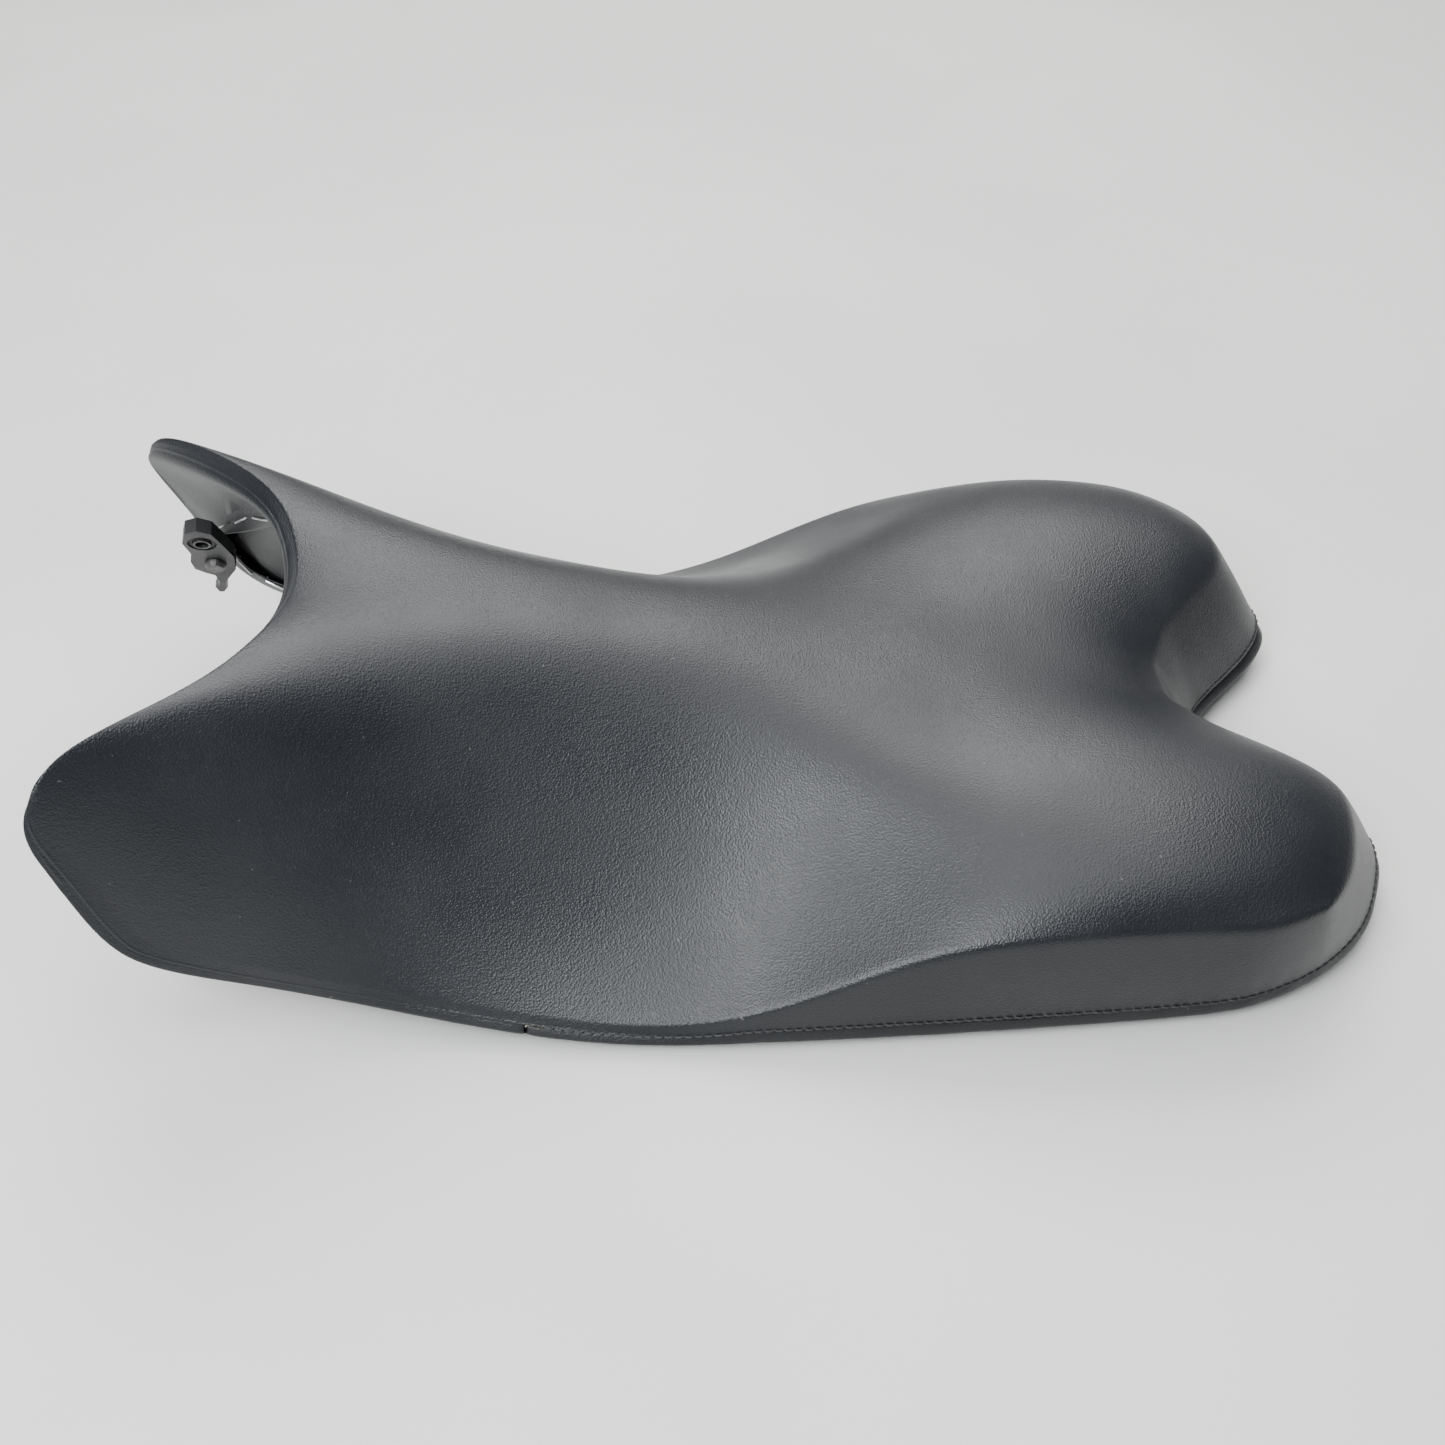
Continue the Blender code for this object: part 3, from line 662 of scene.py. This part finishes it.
def swept(work, path, radius):
    """Adds a round closed bar along a path of points to a bmesh."""
    path = np.array(path, float)
    along = np.gradient(path, axis=0)
    along /= np.linalg.norm(along, axis=1, keepdims=True)
    side = np.cross(along[0], (0.3, 0.5, 0.81))
    angles = np.arange(BAR_SIDES) * 2 * np.pi / BAR_SIDES
    rings = []
    for point, way in zip(path, along):
        side = side - way * (side @ way)
        side /= np.linalg.norm(side)
        other = np.cross(way, side)
        rings.append([
            work.verts.new(Vector(point + radius * (np.cos(a) * side + np.sin(a) * other)) * MM)
            for a in angles
        ])
    bridged(work, rings)


def from_bmesh(name, work, look):
    bmesh.ops.recalc_face_normals(work, faces=work.faces)
    mesh = bpy.data.meshes.new(name)
    work.to_mesh(mesh)
    work.free()
    mesh.shade_smooth()
    mesh.set_sharp_from_angle(angle=np.radians(45))
    return placed(name, mesh, look)


def eased(sheet, quads):
    """Rounds the crown and the rim, and then the turned edge in front, where vinyl is stretched."""
    weight = np.full(len(sheet), 0.12)
    for level in range(SEAM):
        near = 0.5 * (1 - level / SEAM)
        for place in range(LOOP):
            weight[loop_index(level, place)] = near
    for row in range(3):
        weight[row * COLUMNS : (row + 1) * COLUMNS] = 0.3
    weight[loop_index(SEAM, 0) :] = 0
    sheet = relaxed(sheet, quads, weight, 5)
    weight[:] = 0
    for place in range(-EASED_PLACES, EASED_PLACES + 1):
        near = min(1, (EASED_PLACES + 1 - abs(place)) / STEPS)
        for level in range(SEAM - 3, FOLD_END - 1):
            weight[loop_index(level, place)] = near * min(0.5, 0.12 * (level - SEAM + 4))
    return relaxed(sheet, quads, weight, 14)


def drawn_forward(sheet):
    """Draws the wing tips forward. The fold moves less and less towards its stapled end."""
    reach = np.clip((TIP_START - sheet[:, 1]) / TIP_SPAN, 0, 1) ** 2
    for level in range(HEM_LEVEL, FOLD_END):
        left = 1 - (level - HEM_LEVEL) / (FOLD_END - HEM_LEVEL)
        for place in range(LOOP):
            reach[loop_index(level, place)] *= left
    sheet[:, 1] -= TIP_REACH * reach
    return sheet


def outer_sheet(pan):
    """The cover's visible face as one sheet, from the crown down to the end of its fold."""
    rim = on_rim(OUTER)
    height = np.linalg.norm(HEM - rim, axis=1, keepdims=True)
    loops = walls(rim, HEM)
    outward = -horizontal_inward(HEM)
    bulge = np.clip(0.04 * height - 0.4, 0, 1.3)
    for level, share in enumerate(WALL_SHARES):
        loops[level] = loops[level] + bulge * np.sin(np.pi * share) * outward
    sheet = stacked(OUTER, loops + taut_front(pan, pan.fold_lines(FOLD_GAP + COVER)))
    quads = grid_quads() + strip_quads(0, FOLD_END, range(LOOP))
    return drawn_forward(eased(sheet, quads)), quads


def hand_made(sheet, quads):
    """Small unevenness of a sewn cover: slack by the notch, puckers at the seam, soft waves."""
    facing = normals(sheet, quads)
    shift = np.zeros(len(sheet))
    for k in range(GRID + SEAM * LOOP):
        x, y, z = sheet[k]
        shift[k] = 0.35 * noise.noise(Vector((x, y, z)) / 45)
        away = np.hypot(x, y - 150)
        turn = np.arctan2(x, 190 - y)
        shift[k] += 0.45 * np.exp(-((away / 34) ** 2)) * np.cos(9 * turn)
    seam = loop_points(sheet, SEAM)
    lengths = arc_lengths(seam)
    for place in range(LOOP):
        at = lengths[place]
        wave = np.sin(at / 1.9 + 2.5 * np.sin(at / 23)) * (0.6 + 0.4 * np.sin(at / 37))
        for back, size in enumerate((0.12, 0.2, 0.22, 0.14, 0.06)):
            shift[loop_index(SEAM - back, place)] += size * wave
        shift[loop_index(SEAM - 1, place)] += 0.25
        shift[loop_index(SEAM, place)] -= 0.15
    return sheet + shift[:, None] * facing


def band_sheet(sheet, facing, start):
    """The band's face: set in under the seam, and slightly wrinkled. It starts out flush."""
    moved = sheet.copy()
    places = np.arange(LOOP)
    rise = np.clip((np.minimum(places, LOOP - places) - start - 0.5) / (1.6 * STEPS), 0, 1)
    lengths = arc_lengths(loop_points(sheet, HEM_LEVEL))
    depth = (-0.95, -0.75, -0.35, -0.1, 0)
    for back, level in enumerate(range(SEAM, HEM_LEVEL + 1)):
        for place in range(LOOP):
            at = lengths[place]
            wave = np.sin(at / 3.1 + 3 * np.sin(at / 31) + 0.4 * back)
            k = loop_index(level, place)
            shift = depth[back] + 0.22 * wave * np.sin(np.pi * back / 4)
            moved[k] += rise[place] * shift * facing[k]
    return moved


def build_cover(pan):
    """The main cover, its two side bands, their stitches and the staples. Gives back the sheet."""
    sheet, quads = outer_sheet(pan)
    sheet = hand_made(sheet, quads)
    facing = normals(sheet, quads)
    start = int(STEPS * (len(HEM_FRONT) - 1 + BAND_START_STATION))
    front = [*range(start), *range(LOOP - start, LOOP)]
    main = grid_quads() + strip_quads(0, SEAM, range(LOOP)) + strip_quads(SEAM, FOLD_END, front)
    cover = thicken(mesh_object("seat_cover", sheet, main, "vinyl"), COVER)
    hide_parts("cover_main")
    band_points = band_sheet(sheet, facing, start)
    spans = (("left", start, LOOP // 2), ("right", LOOP // 2, LOOP - start))
    for side, first, last in spans:
        strip = strip_quads(SEAM, FOLD_END, range(first, last))
        band = mesh_object("seat_band_" + side, band_points, strip, "band")
        thicken(band, COVER)
        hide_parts("cover_band_" + side)
        length = arc_lengths(loop_points(sheet, HEM_LEVEL))
        stitches(side, sheet, facing, first, last)
    staples(sheet, facing)
    return sheet


def stitches(side, sheet, facing, first, last):
    """A row of lockstitches just above the seam, each dipping into the vinyl at its ends."""
    line = loop_points(sheet, SEAM - 1)
    outward = loop_points(facing, SEAM - 1)
    work = bmesh.new()
    for point, along, out in spaced_frames(line, outward, STITCH_SPACING, first + 1, last - 1):
        path = []
        for share in np.linspace(-1, 1, 7):
            lift = 0.42 * (1 - share**4) - 0.22
            path.append(point + STITCH_HALF * share * along + lift * out)
        swept(work, path, THREAD_RADIUS)
    from_bmesh("stitches_" + side, work, "thread")


def staples(sheet, facing):
    """Wire staples that hold the fold to the pan, all round."""
    work = bmesh.new()
    level = FOLD_END - 1
    line = loop_points(sheet, level)
    outward = loop_points(facing, level)
    frames = spaced_frames(line, outward, STAPLE_SPACING, 0, LOOP)
    for number, (point, along, out) in enumerate(frames):
        swing = STAPLE_SWING * np.sin(number * 2.4)
        way = np.cos(swing) * along + np.sin(swing) * np.cross(out, along)
        path = []
        for end, order in ((-1, 1), (1, -1)):
            leg = [
                point + end * (STAPLE_HALF - 0.1) * way - STAPLE_LEG * out,
                point + end * STAPLE_HALF * way + 0.1 * out,
                point + end * (STAPLE_HALF - 0.4) * way + 0.45 * out,
            ]
            path += leg[::order]
        swept(work, path, STAPLE_RADIUS)
    from_bmesh("staples", work, "staple")


def drawn_in(points):
    """Points near a wing's tip, drawn in so that the cover clears them."""
    found = points.copy()
    found[:, 1] += CLEAR_SHARE * np.clip(CLEAR_START - points[:, 1], 0, None)
    return found


def build_foam(pan, sheet):
    """The foam between the cover's inner side and the pan's upper face."""
    quads = grid_quads() + strip_quads(0, HEM_LEVEL, range(LOOP))
    outer = sheet[: len(pan.upper)]
    top = outer - (COVER + 2.5 * FOAM_GAP) * normals(outer, quads)
    setback = inside_hem(insets(FOAM_SETBACK_FRONT, 0)) - HEM
    for level in range(HEM_LEVEL):
        for place in range(LOOP):
            top[loop_index(level, place)] += setback[place]
    inset = inside_hem(insets(FOAM_INSET_FRONT, FOAM_INSET))
    for level in range(SEAM + 1, HEM_LEVEL + 1):
        share = (level - SEAM) / (HEM_LEVEL - SEAM)
        k = loop_index(level, 0)
        top[k : k + LOOP] = (1 - share) * top[k : k + LOOP] + share * inset
    under = pan.upper + GAP * pan.normal
    thin = FOAM_THIN_SHARE * np.clip((FOAM_THIN_START - top[:, 1:2]) / FOAM_THIN_SPAN, 0, 1)
    top = (1 - thin) * top + thin * (under + 0.5 * pan.normal)
    quads = [quad for quad in quads if min(under[k][1] for k in quad) > FOAM_FRONT]
    foam = closed_shell("seat_foam", top, under, quads, "foam")
    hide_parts("foam")


def plate(work, low, high, half, depth):
    """Adds an upright plate to a bmesh, along a plan path whose top edge follows the pan."""
    path = np.array(low, float)
    along = np.gradient(path, axis=0)
    square = np.stack([-along[:, 1], along[:, 0]], 1)
    square /= np.linalg.norm(square, axis=1, keepdims=True)
    rings = []
    for (x, y), (sx, sy), top, deep in zip(path, square, high, depth):
        corners = (
            (x - half * sx, y - half * sy, top), (x + half * sx, y + half * sy, top),
            (x + 0.6 * half * sx, y + 0.6 * half * sy, top - deep),
            (x - 0.6 * half * sx, y - 0.6 * half * sy, top - deep),
        )
        rings.append([work.verts.new(Vector(c) * MM) for c in corners])
    bridged(work, rings)


def rib(work, pan, start, end, depth=7.0):
    """A stiffening rib under the pan between two points of its plan, run out at both ends."""
    shares = np.linspace(0, 1, RIB_POINTS)
    path = np.outer(1 - shares, np.array(start, float)) + np.outer(shares, np.array(end, float))
    tops = [pan.under(x, y) for x, y in path]
    kept = [k for k in range(RIB_POINTS) if tops[k] is not None]
    deep = 0.9 + depth * np.sin(np.pi * shares) ** 0.35
    plate(work, path[kept], [tops[k] + RIB_SUNK for k in kept], RIB_HALF, deep[kept])


def post(work, pan, x, y):
    """A tapered post with a rounded foot, and four gussets up to the pan."""
    top = pan.under(x, y) + 1.2
    profile = (
        (POST_RADIUS - 1.2, POST_BOTTOM), (POST_RADIUS - 0.4, POST_BOTTOM + 0.8),
        (POST_RADIUS, POST_BOTTOM + 3), (POST_RADIUS + 0.8, top - 1), (POST_RADIUS + 2.4, top + 1.5),
    )
    angles = np.arange(POST_SIDES) * 2 * np.pi / POST_SIDES
    bridged(work, [
        [
            work.verts.new(Vector((x + size * np.cos(a), y + size * np.sin(a), height)) * MM)
            for a in angles
        ]
        for size, height in profile
    ])
    for turn in range(4):
        way = np.array((np.cos(turn * np.pi / 2), np.sin(turn * np.pi / 2)))
        path = [np.array((x, y)) + way * (POST_RADIUS - 1 + reach) for reach in (0, 3, 6, 9)]
        tops = [pan.under(*p) for p in path]
        if None in tops:
            continue
        deep = [max(top - POST_BOTTOM - 5, 2) * share for share in (1, 0.62, 0.3, 0.06)]
        plate(work, path, [t + RIB_SUNK for t in tops], 1.1, deep)


def build_pan(pan):
    """The pan's shell, and its ribs and posts as a second piece."""
    upper, lower = drawn_in(pan.upper), drawn_in(pan.lower)
    shell = closed_shell("pan", upper, lower, pan.quads, "plastic")
    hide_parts("base_pan")
    work = bmesh.new()
    for x in (-34, -12, 12, 34):
        rib(work, pan, (x, -128), (x, 84))
    for y in (-110, -85, -35, -5, 55, 84):
        reach = float(np.interp(y, (-110, -85, -35, 84), (62, 66, 78, 98)))
        rib(work, pan, (-reach, y), (reach, y), 6.0)
    for sign in (1, -1):
        rib(work, pan, (sign * 34, 84), (sign * 70, 170))
        rib(work, pan, (sign * 30, 140), (sign * 100, 150), 6.0)
        for x, y in POSTS:
            post(work, pan, sign * x, y)
    ribs = from_bmesh("pan_ribs", work, "plastic")
    bevel = ribs.modifiers.new("edges", "BEVEL")
    bevel.width = 0.3 * MM
    bevel.limit_method = "ANGLE"
    bevel.angle_limit = np.radians(50)


def build_linings(pan):
    """The cover's turned-in flap inside each wing, stapled to the pan's inner face."""
    face = normals(pan.lower, pan.quads)
    middle = COLUMNS // 2
    for side, sign in SIDES:
        first = middle + 2 * STEPS + 3
        columns = range(first, COLUMNS - 1) if sign > 0 else range(0, COLUMNS - 1 - first)
        quads = grid_quads(range(LINING_ROWS), columns)
        sheet = drawn_in(pan.lower)
        for k in range(GRID):
            sheet[k] += 0.18 * noise.noise(Vector(sheet[k]) / 14) * face[k]
        near, far = sheet - LINING_GAP * face, sheet - LINING_BACK * face
        flap = closed_shell("wing_lining_" + side, near, far, quads, "band")


def dress_nodes():
    """Looks of the CAD nodes that stay."""
    kinds = (
        ("bumper_", "rubber", 0.5), ("grommet_", "rubber", 0.3), ("front_ear_", "ear", 0.6),
        ("collar_", "steel", 0.15), ("ear_screw_", "steel", 0.2), ("rear_tongue", "steel", 0.3),
        ("tongue_screw_", "steel", 0.2),
    )
    for name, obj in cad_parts.items():
        for start, look, width in kinds:
            if not name.startswith(start):
                continue
            obj.data.materials.clear()
            obj.data.materials.append(LOOKS[look])
            edge = obj.modifiers.new("edges", "BEVEL")
            edge.width = width * MM
            edge.segments = 2
            edge.limit_method = "ANGLE"
            edge.angle_limit = np.radians(35)


def aim(obj, position, way):
    obj.location = position
    obj.rotation_mode = "QUATERNION"
    obj.rotation_quaternion = Vector(way).to_track_quat("-Z", "Y")


def build_camera():
    """The camera stands over the seat's left side, a little ahead of its middle."""
    data = bpy.data.cameras.new("camera")
    data.sensor_width = 36
    data.lens = 39.86
    camera = bpy.data.objects.new("camera", data)
    bpy.context.scene.collection.objects.link(camera)
    down, yaw = np.radians(42.29), np.radians(4.27)
    way = (-np.cos(down) * np.cos(yaw), np.cos(down) * np.sin(yaw), -np.sin(down))
    aim(camera, (0.456, -0.045, 0.450), way)
    bpy.context.scene.camera = camera


def area_light(name, position, target, size, power, colour):
    data = bpy.data.lights.new(name, "AREA")
    data.shape = "RECTANGLE"
    data.size, data.size_y = size
    data.energy = power
    data.color = colour
    light = bpy.data.objects.new(name, data)
    bpy.context.scene.collection.objects.link(light)
    aim(light, position, Vector(target) - Vector(position))


def build_studio():
    """A plain pale floor, three soft lights and a dim sky."""
    mesh = bpy.data.meshes.new("floor")
    corners = [(FLOOR_HALF * x, FLOOR_HALF * y, 0) for x, y in ((-1, -1), (1, -1), (1, 1), (-1, 1))]
    mesh.from_pydata(corners, [], [(0, 1, 2, 3)])
    mesh.materials.append(floor_look())
    floor = bpy.data.objects.new("floor", mesh)
    bpy.context.scene.collection.objects.link(floor)
    area_light("window", (-1.15, 0.05, 1.45), (0, 0, 0.05), (2.0, 1.3), 60, (1.0, 1.0, 0.985))
    area_light("ceiling", (0.12, 0.05, 1.6), (0.12, 0.05, 0), (1.1, 1.7), 24, (0.98, 0.99, 1.0))
    area_light("lamp", (0.8, -0.65, 1.1), (0.05, 0, 0.03), (0.9, 0.7), 38, (0.96, 0.985, 1.0))
    world = bpy.data.worlds.new("studio")
    world.use_nodes = True
    use(world.node_tree.nodes["Background"], Color=(0.93, 0.95, 1.0, 1), Strength=0.14)
    bpy.context.scene.world = world


pan = Pan()
build_foam(pan, build_cover(pan))
build_pan(pan)
build_linings(pan)
dress_nodes()
build_studio()
build_camera()
